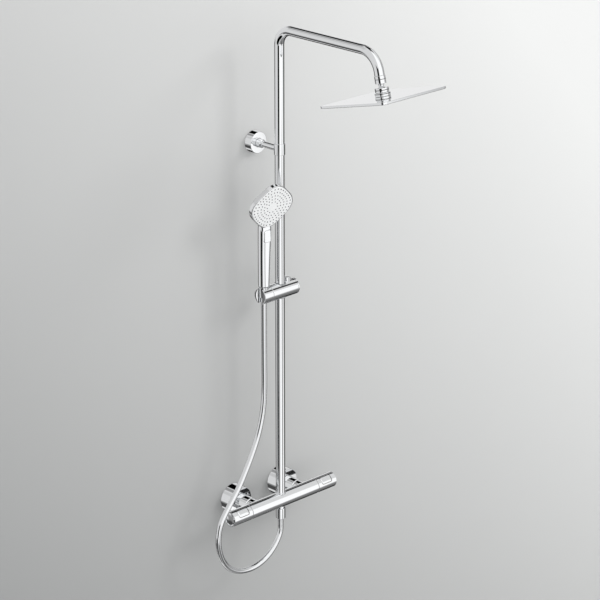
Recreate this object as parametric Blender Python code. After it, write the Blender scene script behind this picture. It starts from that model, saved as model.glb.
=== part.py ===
"""Thermostatic shower column with an overhead rain head, a hand shower and a hose.

Metres, +Z up.  The wall is the plane y = 0 and the column stands out from it towards -Y.
The origin is on the wall, midway between the two water inlets, at the height of the mixer.
"""

import math

import bmesh
import bpy
from mathutils import Matrix, Vector

MM = 0.001
GAP = 0.3 * MM
UP = (0, 0, 1)
RIGHT = (1, 0, 0)
OUT = (0, -1, 0)                # away from the wall

# Main layout
INLET_SPACING = 150 * MM
COLUMN_OUT = 88 * MM            # riser and mixer axis, out from the wall
BRACKET_Z = 860 * MM
ARM_Z = 1137 * MM
ARM_REACH = 385 * MM            # corner of the arm's down-turned end, out from the wall
ARM_END_TILT = math.radians(13.8)
SLIDER_Z = 524 * MM

# Tubes
TUBE_R = 11 * MM
TUBE_BORE_R = 9.5 * MM
TOP_BEND_R = 38 * MM
END_BEND_R = 52 * MM

# Mixer bar
BAR_R = 18.4 * MM
BAR_CENTRE_X = 3 * MM
BAR_LENGTH = 330 * MM
KNOB_LENGTH = 58 * MM
WINDOW_FROM_END = 30.5 * MM     # centre of the push button, from the handle's free end
BAR_BORE_R = 13.5 * MM
BAR_BORE_DEPTH = 48 * MM
BOSS_R = 17.6 * MM
BUTTON_LENGTH = 32 * MM
BUTTON_WIDTH = 19 * MM
BUTTON_CORNER_R = 4 * MM

# Wall unions
LIP = 1.5 * MM                  # wall of the roses and of the bracket's flange
ROSE_R = 35 * MM
ROSE_DEPTH = 30 * MM
UNION_NUT_R = 19 * MM

# Wall bracket
FLANGE_R = 25 * MM
FLANGE_DEPTH = 20 * MM
STEM_R = 6.75 * MM
RING_R = 12.5 * MM
RING_HEIGHT = 26 * MM
BRACKET_SCREW_X = 14 * MM

# Slider and handset holder
SLIDER_R = 19 * MM
SLIDER_LEFT = -36 * MM
SLIDER_RIGHT = 45.5 * MM
HOLDER_LEFT = -62.5 * MM
CONE_X = -50.5 * MM
CONE_TOP_Z = 544.5 * MM
CONE_BOTTOM_Z = 519.5 * MM
SLOT_WIDTH = 14.8 * MM
SLIDER_BUTTON_X = 23 * MM
BRAKE_SLEEVE_R = 13.1 * MM

# Hand shower
HANDSET_YAW = math.radians(-6.7)
FACE_TILT = math.radians(19.6)
FACE_OUT = 33 * MM              # spray face centre, out from the handle's axis
FACE_Z = 743 * MM
FACE_HALF_FLAT = 51 * MM
FACE_POWER = 2.9
HEAD_THICKNESS = 13 * MM
SELECT_BUTTON_Z = 669 * MM
RECESS_DEPTH = 6.5 * MM
FACE_INSET = 0.965              # recess outline as a share of the head's outline

# Overhead shower, measured along the arm end's axis from the arm's corner
ARM_END = 49 * MM
END_NUT_BOTTOM = 66.4 * MM
BALL_AT = 79.5 * MM
BALL_R = 9 * MM
BOSS_TOP = 85.6 * MM
PLATE_TOP = 93.6 * MM
PLATE_SIDE = 197 * MM
PLATE_CORNER_R = 11 * MM

# Hose
HOSE_R = 6.5 * MM
HOSE_START_Z = -47.8 * MM
HOSE_POINTS = 56

COLUMN = Vector((0, -COLUMN_OUT, 0))
BODY_LEFT = BAR_CENTRE_X - BAR_LENGTH / 2 + KNOB_LENGTH + GAP
BODY_RIGHT = BAR_CENTRE_X + BAR_LENGTH / 2 - KNOB_LENGTH - GAP
ARM_AXIS = Vector((0, -math.sin(ARM_END_TILT), -math.cos(ARM_END_TILT)))
ARM_CORNER = Vector((0, -ARM_REACH, ARM_Z))

FINISHES = {
    "chrome": ((0.82, 0.83, 0.84), 1.0, 0.06),
    "brass": ((0.72, 0.53, 0.25), 1.0, 0.25),
    "steel": ((0.60, 0.61, 0.62), 1.0, 0.28),
    "white_plastic": ((0.86, 0.86, 0.85), 0.0, 0.35),
    "grey_plastic": ((0.32, 0.33, 0.34), 0.0, 0.45),
    "rubber": ((0.05, 0.05, 0.05), 0.0, 0.75),
    "hose_silver": ((0.70, 0.71, 0.72), 0.9, 0.22),
}


def clear_scene():
    for obj in list(bpy.data.objects):
        bpy.data.objects.remove(obj, do_unlink=True)


def material(name, finish):
    colour, metallic, roughness = FINISHES[finish]
    mat = bpy.data.materials.new(name)
    mat.use_nodes = True
    shader = mat.node_tree.nodes["Principled BSDF"]
    shader.inputs["Base Color"].default_value = (*colour, 1)
    shader.inputs["Metallic"].default_value = metallic
    shader.inputs["Roughness"].default_value = roughness
    return mat


def add_object(name, bm, finish, origin=(0, 0, 0), matrix=None):
    """Make the node from a bmesh drawn about its own origin, then place it."""
    bmesh.ops.recalc_face_normals(bm, faces=bm.faces)
    mesh = bpy.data.meshes.new(name)
    bm.to_mesh(mesh)
    bm.free()
    mesh.shade_smooth()
    mesh.set_sharp_from_angle(angle=math.radians(35))
    obj = bpy.data.objects.new(name, mesh)
    bpy.context.collection.objects.link(obj)
    if finish:
        mesh.materials.append(material(name, finish))
    obj.matrix_world = matrix if matrix else Matrix.Translation(origin)
    return obj


def cut(target, cutter, operation="DIFFERENCE"):
    cutter.hide_render = True
    cutter.display_type = "WIRE"
    boolean = target.modifiers.new(cutter.name, "BOOLEAN")
    boolean.operation = operation
    boolean.solver = "EXACT"
    boolean.object = cutter


def along(axis, origin=(0, 0, 0)):
    """Matrix that lays a shape drawn up +Z along the axis, at the origin given."""
    turn = Vector(UP).rotation_difference(Vector(axis)).to_matrix().to_4x4()
    return Matrix.Translation(origin) @ turn


def stacked_mesh(loops, closed=False):
    """Skin loops of equal point count; single-point loops close the ends."""
    bm = bmesh.new()
    rings = [[bm.verts.new(point) for point in loop] for loop in loops]
    count = max(len(r) for r in rings)
    pairs = list(zip(rings, rings[1:]))
    if closed:
        pairs.append((rings[-1], rings[0]))
    for a, b in pairs:
        for i in range(count):
            j = (i + 1) % count
            corners = [a[i % len(a)], a[j % len(a)], b[j % len(b)], b[i % len(b)]]
            face = list(dict.fromkeys(corners))
            if len(face) > 2:
                bm.faces.new(face)
    if not closed:
        for end in (rings[0], rings[-1]):
            if len(end) > 2:
                bm.faces.new(end)
    return bm


def turned_mesh(profile, segments):
    """Spin a profile of (distance along the axis, radius) points; it closes on the axis or on itself."""
    solid = profile[0][1] == 0
    flat_ends = [solid and profile[0][0] == profile[1][0], solid and profile[-1][0] == profile[-2][0]]
    if flat_ends[0]:
        profile = profile[1:]
    if flat_ends[1]:
        profile = profile[:-1]
    loops = []
    for distance, radius in profile:
        if radius == 0:
            loops.append([(0, 0, distance)])
            continue
        loop = []
        for i in range(segments):
            angle = math.tau * i / segments
            loop.append((radius * math.cos(angle), radius * math.sin(angle), distance))
        loops.append(loop)
    return stacked_mesh(loops, closed=not solid)


def turned(name, finish, profile, axis=UP, origin=(0, 0, 0), segments=24):
    return add_object(name, turned_mesh(profile, segments), finish, matrix=along(axis, origin))


def rod(name, finish, start, end, radius, axis=UP, origin=(0, 0, 0), segments=24):
    profile = [(start, 0), (start, radius), (end, radius), (end, 0)]
    return turned(name, finish, profile, axis, origin, segments)


def ring(name, finish, start, end, outer, inner, axis=UP, origin=(0, 0, 0), segments=24):
    profile = [(start, inner), (start, outer), (end, outer), (end, inner)]
    return turned(name, finish, profile, axis, origin, segments)


def rounded_rectangle(width, depth, radius, per_corner=4):
    """Points round a rectangle centred on the origin, anticlockwise."""
    points = []
    for corner in range(4):
        sx = (1, -1, -1, 1)[corner]
        sy = (1, 1, -1, -1)[corner]
        cx = sx * (width / 2 - radius)
        cy = sy * (depth / 2 - radius)
        for i in range(per_corner + 1):
            angle = math.pi / 2 * (corner + i / per_corner)
            points.append((cx + radius * math.cos(angle), cy + radius * math.sin(angle)))
    return points


def block(name, finish, width, depth, radius, low, high, matrix=None, per_corner=4):
    """A rounded rectangle extruded along local Z from low to high."""
    outline = rounded_rectangle(width, depth, radius, per_corner)
    loops = [[(x, y, z) for x, y in outline] for z in (low, high)]
    return add_object(name, stacked_mesh(loops), finish, matrix=matrix or Matrix.Identity(4))


def swept(name, finish, path, outer, inner, segments=16):
    """A tube of ring section along a path that lies in a plane of constant x."""
    loops = [[], []]
    for i, point in enumerate(path):
        ahead = path[min(i + 1, len(path) - 1)] - path[max(i - 1, 0)]
        ahead.normalize()
        side = Vector(RIGHT)
        up = ahead.cross(side)
        for loop, radius in zip(loops, (outer, inner)):
            section = []
            for k in range(segments):
                angle = math.tau * k / segments
                section.append(point + radius * (math.cos(angle) * side + math.sin(angle) * up))
            loop.append(section)
    return add_object(name, stacked_mesh(loops[0] + loops[1][::-1], closed=True), finish)


def spring(name, radius, wire, height, turns, axis, origin, sides=4, per_turn=8):
    """A coil spring standing on the origin along the axis."""
    path = []
    steps = turns * per_turn
    for i in range(steps + 1):
        angle = math.tau * i / per_turn
        climb = wire + (height - 2 * wire) * i / steps
        path.append(Vector((radius * math.cos(angle), radius * math.sin(angle), climb)))
    loops = []
    for i, point in enumerate(path):
        ahead = (path[min(i + 1, steps)] - path[max(i - 1, 0)]).normalized()
        outward = Vector((point.x, point.y, 0)).normalized()
        up = outward.cross(ahead).normalized()
        section = []
        for k in range(sides):
            angle = math.tau * k / sides
            section.append(point + wire * (math.cos(angle) * outward + math.sin(angle) * up))
        loops.append(section)
    return add_object(name, stacked_mesh(loops), "steel", matrix=along(axis, origin))


def wall_unions():
    """Roses, eccentric unions, round nuts, washers, tails and check valves for hot and cold."""
    for side, x in (("left", -INLET_SPACING / 2), ("right", INLET_SPACING / 2)):
        at = (x, 0, 0)
        hole = 13.7 * MM
        turned(f"rose_{side}", "chrome", [
            (0, ROSE_R - LIP), (0, ROSE_R), (ROSE_DEPTH - 2 * MM, ROSE_R), (ROSE_DEPTH, ROSE_R - 2 * MM),
            (ROSE_DEPTH, hole), (ROSE_DEPTH - LIP, hole), (ROSE_DEPTH - LIP, ROSE_R - 2 * LIP),
            (ROSE_DEPTH - 2 * LIP, ROSE_R - LIP)], OUT, at, 28)
        turned(f"eccentric_union_{side}", "brass", [
            (0.6 * MM, 7 * MM), (0.6 * MM, 10.3 * MM), (14 * MM, 10.3 * MM), (14 * MM, 13.2 * MM),
            (29 * MM, 13.2 * MM), (52 * MM, 13.0 * MM), (52 * MM, 7 * MM)], OUT, at, 16)
        turned(f"union_nut_{side}", "chrome", [
            (31 * MM, 13.5 * MM), (31 * MM, 17.5 * MM), (32.5 * MM, UNION_NUT_R), (65 * MM, UNION_NUT_R),
            (66.7 * MM, 17.5 * MM), (66.7 * MM, 10.7 * MM), (58.4 * MM, 10.7 * MM), (58.4 * MM, 13.5 * MM)],
            OUT, at, 24)
        ring(f"union_washer_{side}", "rubber", 52.3 * MM, 54.2 * MM, 12.6 * MM, 7.2 * MM, OUT, at, 16)
        turned(f"inlet_tail_{side}", "brass", [
            (54.5 * MM, 7.8 * MM), (54.5 * MM, 12.8 * MM), (58 * MM, 12.8 * MM), (58 * MM, 10.2 * MM),
            (72 * MM, 10.2 * MM), (72 * MM, 7.8 * MM)], OUT, at, 16)
        turned(f"check_valve_{side}", "grey_plastic", [
            (56 * MM, 0), (56 * MM, 4 * MM), (58 * MM, 7.4 * MM), (70 * MM, 7.4 * MM), (70 * MM, 0)],
            OUT, at, 12)


def mixer():
    """The middle of the bar with its inlet bosses, and the two cartridges inside it."""
    length = BODY_RIGHT - BODY_LEFT
    body = rod("mixer_body", "chrome", 0, length, BAR_R, RIGHT, COLUMN + Vector((BODY_LEFT, 0, 0)), 32)
    for side, x in (("left", -INLET_SPACING / 2), ("right", INLET_SPACING / 2)):
        boss = rod(f"cut_boss_{side}", None, 67 * MM, COLUMN_OUT, BOSS_R, OUT, (x, 0, 0), 24)
        cut(body, boss, "UNION")
    for end, x, way in (("left", BODY_LEFT, 1), ("right", BODY_RIGHT, -1)):
        bore = rod(f"cut_bore_{end}", None, -5 * MM, BAR_BORE_DEPTH, BAR_BORE_R, (way, 0, 0),
                   COLUMN + Vector((x, 0, 0)), 20)
        cut(body, bore)
    for side, x in (("left", -INLET_SPACING / 2), ("right", INLET_SPACING / 2)):
        port = rod(f"cut_port_{side}", None, 60 * MM, 80 * MM, 10.5 * MM, OUT, (x, 0, 0), 16)
        cut(body, port)
    cut(body, rod("cut_riser_socket", None, 6 * MM, 30 * MM, TUBE_R + GAP, UP, COLUMN, 20))
    cut(body, rod("cut_outlet", None, -30 * MM, -9.5 * MM, 9.6 * MM, UP, COLUMN, 16))

    reach = BAR_BORE_DEPTH - GAP
    for name, x, way in (("thermostat_cartridge", BODY_LEFT, 1), ("flow_cartridge", BODY_RIGHT, -1)):
        turned(name, "brass", [
            (reach, 0), (reach, 11 * MM), (18 * MM, 11 * MM), (18 * MM, 13.2 * MM), (2 * MM, 13.2 * MM),
            (2 * MM, 8 * MM), (-3 * MM, 8 * MM), (-3 * MM, 0)],
            (way, 0, 0), COLUMN + Vector((x, 0, 0)), 16)


def knob(prefix, button_name, end_x, way):
    """One turning handle: sleeve, push button in its upper front, spring, spindle and end cap.

    way is +1 where the handle's free end faces -X and -1 where it faces +X.
    """
    origin = COLUMN + Vector((end_x, 0, 0))
    axis = (way, 0, 0)
    sleeve = turned(f"{prefix}_knob", "chrome", [
        (1.2 * MM, 15.8 * MM), (0, 16.2 * MM), (0, BAR_R - 0.8 * MM), (0.8 * MM, BAR_R),
        (KNOB_LENGTH, BAR_R), (KNOB_LENGTH, 14.5 * MM), (8.5 * MM, 14.5 * MM), (8.5 * MM, 6.5 * MM), (5.2 * MM, 6.5 * MM),
        (5.2 * MM, 15.8 * MM)], axis, origin, 32)
    centre = origin + Vector((way * WINDOW_FROM_END, 0, 0))
    facing = Vector((0, -1, 1)).normalized()
    place = Matrix.Translation(centre) @ Matrix.Rotation(math.radians(45), 4, "X")
    window = block(f"cut_{prefix}_window", None, BUTTON_LENGTH + 2 * GAP, BUTTON_WIDTH + 2 * GAP,
                   BUTTON_CORNER_R + GAP, 10 * MM, 30 * MM, place)
    cut(sleeve, window)
    button = block(button_name, "chrome", BUTTON_LENGTH, BUTTON_WIDTH, BUTTON_CORNER_R,
                   11.5 * MM, 26 * MM, place)
    keep = rod(f"cut_{prefix}_crown", None, -20 * MM, 20 * MM, BAR_R + 0.25 * MM, axis, centre, 32)
    cut(button, keep, "INTERSECT")
    spring(f"{button_name}_spring", 3.2 * MM, 0.15 * MM, 1.6 * MM, 2, facing, centre + facing * 9.8 * MM)
    turned(f"{prefix}_spindle", "brass", [
        (1.8 * MM, 0), (1.8 * MM, 6.2 * MM), (9 * MM, 6.2 * MM), (9 * MM, 9.4 * MM), (45 * MM, 9.4 * MM),
        (45 * MM, 6 * MM), (54 * MM, 6 * MM), (54 * MM, 0)], axis, origin, 16)
    turned(f"{prefix}_end_cap", "chrome", [
        (1.5 * MM, 0), (1.5 * MM, 6.4 * MM), (4.9 * MM, 6.4 * MM), (4.9 * MM, 15.4 * MM),
        (1.0 * MM, 15.4 * MM), (0.1 * MM, 14.2 * MM), (-0.6 * MM, 0)], axis, origin, 32)


def wall_bracket():
    """Upper wall fixing: base plate and screws under a flange, stem, and the ring round the riser."""
    at = Vector((0, 0, BRACKET_Z))
    turned("wall_flange", "chrome", [
        (0, FLANGE_R - LIP), (0, FLANGE_R), (FLANGE_DEPTH - LIP, FLANGE_R),
        (FLANGE_DEPTH, FLANGE_R - LIP), (FLANGE_DEPTH, 10.4 * MM), (FLANGE_DEPTH - LIP, 10.4 * MM),
        (FLANGE_DEPTH - LIP, FLANGE_R - 2 * LIP), (FLANGE_DEPTH - 2 * LIP, FLANGE_R - LIP)], OUT, at, 28)
    base = turned("bracket_base", "steel", [
        (0.3 * MM, 0), (0.3 * MM, 21 * MM), (5 * MM, 21 * MM), (6 * MM, 20 * MM), (6 * MM, 8.6 * MM),
        (14 * MM, 8.6 * MM), (14 * MM, 6.6 * MM), (27 * MM, 6.6 * MM), (27 * MM, 0)], OUT, at, 20)
    for side, x in (("left", -BRACKET_SCREW_X), ("right", BRACKET_SCREW_X)):
        hole_at = at + Vector((x, 0, 0))
        cut(base, rod(f"cut_screw_{side}", None, -5 * MM, 10 * MM, 2.6 * MM, OUT, hole_at, 12))
        turned(f"bracket_screw_{side}", "steel", [
            (0.6 * MM, 0), (0.6 * MM, 2.3 * MM), (6.3 * MM, 2.3 * MM), (6.3 * MM, 4.2 * MM),
            (7.6 * MM, 3.9 * MM), (8.8 * MM, 2.4 * MM), (9.0 * MM, 0)], OUT, hole_at, 12)
    stem = turned("bracket_stem", "chrome", [
        (15.5 * MM, 6.9 * MM), (15.5 * MM, 10 * MM), (30.5 * MM, 10 * MM), (31.5 * MM, 9 * MM),
        (31.5 * MM, STEM_R), (COLUMN_OUT - 5 * MM, STEM_R), (COLUMN_OUT - 5 * MM, 0), (27.5 * MM, 0),
        (27.5 * MM, 6.9 * MM)], OUT, at, 20)
    riser_at = COLUMN + at
    cut(stem, rod("cut_saddle", None, -20 * MM, 20 * MM, RING_R + GAP, UP, riser_at, 28))
    grub_at = at + Vector((0, -24 * MM, 0))
    cut(stem, rod("cut_grub", None, 5 * MM, 14 * MM, 1.8 * MM, (0, 0, -1), grub_at, 12))
    rod("stem_grub_screw", "steel", 7 * MM, 9.9 * MM, 1.5 * MM, (0, 0, -1), grub_at, 12)
    half = RING_HEIGHT / 2
    bore = TUBE_R + GAP
    turned("riser_ring", "chrome", [
        (-half, bore), (-half, RING_R - 0.6 * MM), (0.6 * MM - half, RING_R), (half - 0.6 * MM, RING_R),
        (half, RING_R - 0.6 * MM), (half, bore)], UP, riser_at, 28)


def riser_and_arm():
    """Fixed lower riser, the coupling inside the ring, and the swivelling arm."""
    ring("riser_tube", "chrome", 6.6 * MM, BRACKET_Z - GAP, TUBE_R, TUBE_BORE_R, UP, COLUMN, 24)
    joint_at = COLUMN + Vector((0, 0, BRACKET_Z))
    groove = 12 * MM
    turned("coupling_sleeve", "brass", [
        (-25 * MM, 7.5 * MM), (-25 * MM, 9.2 * MM), (groove, 9.2 * MM), (groove, 7.9 * MM),
        (groove + 3.4 * MM, 7.9 * MM), (groove + 3.4 * MM, 9.2 * MM), (25 * MM, 9.2 * MM),
        (25 * MM, 7.5 * MM)], UP, joint_at, 16)
    ring("coupling_seal", "rubber", groove + 0.4 * MM, groove + 3 * MM, 9.2 * MM, 8.2 * MM,
         UP, joint_at, 16)

    path = [joint_at, COLUMN + Vector((0, 0, ARM_Z - TOP_BEND_R))]
    steps = 6
    centre = COLUMN + Vector((0, -TOP_BEND_R, ARM_Z - TOP_BEND_R))
    for i in range(1, steps + 1):
        angle = math.pi / 2 * i / steps
        path.append(centre + TOP_BEND_R * Vector((0, math.cos(angle), math.sin(angle))))
    turn = math.pi / 2 - ARM_END_TILT
    tangent = END_BEND_R * math.tan(turn / 2)
    centre = ARM_CORNER + Vector((0, tangent, -END_BEND_R))
    for i in range(steps + 1):
        angle = turn * i / steps
        path.append(centre + END_BEND_R * Vector((0, -math.sin(angle), math.cos(angle))))
    path.append(ARM_CORNER + ARM_AXIS * ARM_END)
    swept("shower_arm", "chrome", path, TUBE_R, TUBE_BORE_R)


def ball_arc(radius, degrees):
    """Profile points on a sphere about the ball's centre, at angles past its widest place."""
    turns = [math.radians(d) for d in degrees]
    return [(BALL_AT + radius * math.sin(t), radius * math.cos(t)) for t in turns]


def rain_head():
    """End nut, ball joint and the square overhead shower, all on the arm end's axis."""
    turned("arm_end_nut", "chrome", [
        (ARM_END - 7 * MM, 6.2 * MM), (ARM_END - 7 * MM, 9.1 * MM), (ARM_END + GAP, 9.1 * MM),
        (ARM_END + GAP, 11.2 * MM), (ARM_END + 1.2 * MM, 11.9 * MM), (END_NUT_BOTTOM - 1 * MM, 11.9 * MM),
        (END_NUT_BOTTOM, 11 * MM), (END_NUT_BOTTOM, 6.2 * MM)], ARM_AXIS, ARM_CORNER, 20)
    neck_top = END_NUT_BOTTOM - 12 * MM
    ball = [(neck_top, 0), (neck_top, 5.6 * MM)]
    ball += ball_arc(BALL_R, range(-50, 90, 20))
    ball.append((BALL_AT + BALL_R, 0))
    turned("ball_stud", "chrome", ball, ARM_AXIS, ARM_CORNER, 20)

    seat_top = ball_arc(BALL_R + GAP, (12, 35, 60))
    seat_bottom = BALL_AT + 9.5 * MM
    turned("ball_seat", "white_plastic", seat_top + [
        (seat_bottom, 4.6 * MM), (seat_bottom, 8 * MM), (BALL_AT + 6 * MM, 10.4 * MM),
        (seat_top[0][0], 10.4 * MM)], ARM_AXIS, ARM_CORNER, 20)
    collar = ball_arc(BALL_R + GAP, (-32, -23, -14))
    nut_bottom = BOSS_TOP - GAP
    turned("swivel_nut", "chrome", collar + [
        (collar[-1][0], 13 * MM), (nut_bottom, 13 * MM), (nut_bottom, 15 * MM),
        (BALL_AT - 3.8 * MM, 15 * MM), (BALL_AT - 5 * MM, 14 * MM)], ARM_AXIS, ARM_CORNER, 20)
    boss_floor = PLATE_TOP - 2.3 * MM
    foot = PLATE_TOP - GAP
    turned("head_boss", "chrome", [
        (BOSS_TOP, 13.6 * MM), (BOSS_TOP, 16.4 * MM), (BOSS_TOP + 0.7 * MM, 17 * MM), (foot, 17 * MM),
        (foot, 4 * MM), (boss_floor, 4 * MM), (boss_floor, 13.6 * MM)], ARM_AXIS, ARM_CORNER, 20)


def rain_plate():
    """The square plate in two skins, with the rubber nozzle mat between them."""
    place = along(ARM_AXIS, ARM_CORNER)
    outer = rounded_rectangle(PLATE_SIDE, PLATE_SIDE, PLATE_CORNER_R)
    inset = 1.6 * MM
    inner_side = PLATE_SIDE - 2 * inset
    inner = rounded_rectangle(inner_side, inner_side, PLATE_CORNER_R - inset)
    skin = 1.4 * MM
    top = PLATE_TOP
    bottom = PLATE_TOP + 5.6 * MM
    outlines = ((outer, top), (outer, bottom), (inner, bottom), (inner, top + skin))
    loops = [[(x, y, z) for x, y in outline] for outline, z in outlines]
    add_object("head_top_shell", stacked_mesh(loops), "chrome", matrix=place)
    face_side = inner_side - 2 * GAP
    block("spray_plate", "chrome", face_side, face_side, PLATE_CORNER_R - inset - GAP,
          top + 3.6 * MM, bottom + 0.3 * MM, place)
    block("nozzle_mat", "rubber", face_side - 6 * MM, face_side - 6 * MM, 6 * MM,
          top + 2.2 * MM, top + 3.3 * MM, place, 2)


def slider():
    """Sliding carrier on the riser, with its brake sleeve, release button and turning holder."""
    at = COLUMN + Vector((0, 0, SLIDER_Z))
    body = turned("slider_body", "chrome", [
        (SLIDER_LEFT, 0), (SLIDER_LEFT, SLIDER_R), (SLIDER_RIGHT - 4.5 * MM, SLIDER_R),
        (SLIDER_RIGHT - 4.5 * MM, 0)], RIGHT, at, 32)
    riser_hole_r = BRAKE_SLEEVE_R + 0.4 * MM
    cut(body, rod("cut_riser_hole", None, -30 * MM, 30 * MM, riser_hole_r, UP, at, 20))
    button_at = at + Vector((SLIDER_BUTTON_X, 0, 0))
    cut(body, rod("cut_button_hole", None, -8 * MM, 30 * MM, 7.5 * MM, UP, button_at, 16))
    cut(body, rod("cut_pivot_hole", None, 20 * MM, 50 * MM, 4.4 * MM, (-1, 0, 0), at, 12))
    cut(body, rod("cut_cap_socket", None, 34 * MM, 60 * MM, 9.4 * MM, RIGHT, at, 16))
    turned("slider_end_cap", "chrome", [
        (SLIDER_RIGHT - 10 * MM, 0), (SLIDER_RIGHT - 10 * MM, 9 * MM), (SLIDER_RIGHT - 4.2 * MM, 9 * MM),
        (SLIDER_RIGHT - 4.2 * MM, SLIDER_R), (SLIDER_RIGHT - 0.8 * MM, SLIDER_R),
        (SLIDER_RIGHT, SLIDER_R - 0.8 * MM), (SLIDER_RIGHT, 0)], RIGHT, at, 32)
    ring("brake_sleeve", "grey_plastic", -17 * MM, 17 * MM, BRAKE_SLEEVE_R, TUBE_R + GAP / 2, UP, at, 20)
    turned("slider_button", "chrome", [
        (-2 * MM, 0), (-2 * MM, 7.1 * MM), (27.2 * MM, 7.1 * MM), (28 * MM, 6.3 * MM), (28 * MM, 0)],
        UP, button_at, 16)
    spring_at = button_at - Vector((0, 0, 7.7 * MM))
    spring("slider_button_spring", 5 * MM, 0.5 * MM, 5.4 * MM, 3, UP, spring_at)


def handset_holder():
    """Turning end of the slider, with the tapered seat for the hose cone and its slot."""
    at = COLUMN + Vector((0, 0, SLIDER_Z))
    holder = turned("handset_holder", "chrome", [
        (HOLDER_LEFT, 0), (HOLDER_LEFT, SLIDER_R - 0.6 * MM), (HOLDER_LEFT + 0.6 * MM, SLIDER_R),
        (SLIDER_LEFT - GAP, SLIDER_R), (SLIDER_LEFT - GAP, 0)], RIGHT, at, 32)
    cone_at = COLUMN + Vector((CONE_X, 0, 0))
    seat = turned("cut_cone", None, [
        (CONE_BOTTOM_Z - GAP, 0), (CONE_BOTTOM_Z - GAP, 10.0 * MM), (CONE_TOP_Z + 1 * MM, 11.3 * MM),
        (CONE_TOP_Z + 1 * MM, 0)], UP, cone_at, 20)
    cut(holder, seat)
    cut(holder, rod("cut_hose_way", None, SLIDER_Z - 30 * MM, SLIDER_Z + 30 * MM, SLOT_WIDTH / 2,
                    UP, cone_at, 16))
    slot = block("cut_slot", None, 30 * MM, SLOT_WIDTH, 1 * MM, SLIDER_Z - 30 * MM, SLIDER_Z + 30 * MM,
                 Matrix.Translation(cone_at - Vector((15 * MM, 0, 0))), 1)
    cut(holder, slot)
    cut(holder, rod("cut_pin_hole", None, -45 * MM, -30 * MM, 4.4 * MM, RIGHT, at, 12))
    rod("holder_pivot", "steel", -38.6 * MM, -21 * MM, 4.1 * MM, RIGHT, at, 12)


def superellipse(half_flat, power, count=32):
    """A rounded square standing on one corner: corners lie on the axes, flats on the diagonals."""
    points = []
    for i in range(count):
        angle = math.tau * i / count
        c, s = math.cos(angle - math.pi / 4), math.sin(angle - math.pi / 4)
        radius = half_flat / (abs(c) ** power + abs(s) ** power) ** (1 / power)
        points.append((radius * math.cos(angle), radius * math.sin(angle)))
    return points


def handle_mesh():
    """The handle, lofted up local Z from its socket to where it runs into the head."""
    sections = [  # height, front, back, width
        (545.2, -10.5, 10.5, 22.5), (547, -11.3, 11.2, 24), (560, -11.5, 11.0, 24.5),
        (620, -13.0, 9.8, 27), (668, -15.0, 8.2, 29), (688, -15.0, 7.4, 29.5), (700, -12.5, 6.4, 29),
        (715, -14.5, 4.0, 27), (732, -19.0, -1.5, 23), (745, -22.0, -8.5, 17)]
    loops = []
    for height, front, back, width in sections:
        depth = (back - front) * MM
        corner = min(7 * MM, depth * 0.42)
        middle = (front + back) / 2 * MM
        outline = rounded_rectangle(width * MM, depth, corner, 3)
        loops.append([(x, y + middle, height * MM) for x, y in outline])
    return stacked_mesh(loops)


def handset():
    """Hand shower: hollow-fronted body, spray face, select button, and the hose cone it stands on."""
    place = Matrix.Translation(COLUMN + Vector((CONE_X, 0, 0))) @ Matrix.Rotation(HANDSET_YAW, 4, "Z")
    outline = superellipse(FACE_HALF_FLAT, FACE_POWER)
    # The head is drawn with its spray face looking along +Z, then tipped to look out and down.
    head_place = (place @ Matrix.Translation((0, -FACE_OUT, FACE_Z))
                  @ Matrix.Rotation(math.pi / 2 + FACE_TILT, 4, "X"))
    rings = [(0.62, -3.2 * MM - HEAD_THICKNESS), (0.93, -HEAD_THICKNESS), (1.0, -9.5 * MM),
             (1.0, -0.8 * MM), (0.985, 0)]
    loops = [[(x * k, y * k, z) for x, y in outline] for k, z in rings]
    shell = add_object("handset_body", stacked_mesh(loops), "chrome", matrix=head_place)
    loops = [[(x * FACE_INSET, y * FACE_INSET, z) for x, y in outline] for z in (-RECESS_DEPTH, 5 * MM)]
    recess = add_object("cut_face_recess", stacked_mesh(loops), None, matrix=head_place)

    handle = add_object("cut_handle", handle_mesh(), None, matrix=place)
    cut(shell, handle, "UNION")
    cut(shell, recess)
    pocket_place = (place @ Matrix.Translation((0, -14 * MM, SELECT_BUTTON_Z))
                    @ Matrix.Rotation(math.pi / 2, 4, "X"))
    width, height, corner = 17 * MM, 28 * MM, 3 * MM
    pocket = block("cut_select_pocket", None, width + 2 * GAP, height + 2 * GAP, corner + GAP,
                   -4.5 * MM, 8 * MM, pocket_place)
    cut(shell, pocket)
    block("select_button", "chrome", width, height, corner, -2.2 * MM, 1.9 * MM, pocket_place)
    spring("select_button_spring", 2.4 * MM, 0.2 * MM, 1.7 * MM, 2,
           pocket_place.to_3x3() @ Vector(UP), pocket_place @ Vector((0, 0, -4.2 * MM)))

    face_rings = [(0.955, -6.1 * MM), (0.957, 0.2 * MM), (0.94, 0.6 * MM), (0.0, 0.9 * MM)]
    loops = [[(x * k, y * k, z) for x, y in outline] if k else [(0, 0, z)] for k, z in face_rings]
    add_object("spray_face", stacked_mesh(loops), "white_plastic", matrix=head_place)

    turned("hose_cone_nut", "chrome", [
        (CONE_BOTTOM_Z, 5 * MM), (CONE_BOTTOM_Z, 9.4 * MM), (CONE_BOTTOM_Z + 0.6 * MM, 9.7 * MM),
        (CONE_TOP_Z, 10.9 * MM), (CONE_TOP_Z, 5 * MM)], UP, COLUMN + Vector((CONE_X, 0, 0)), 20)


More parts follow.
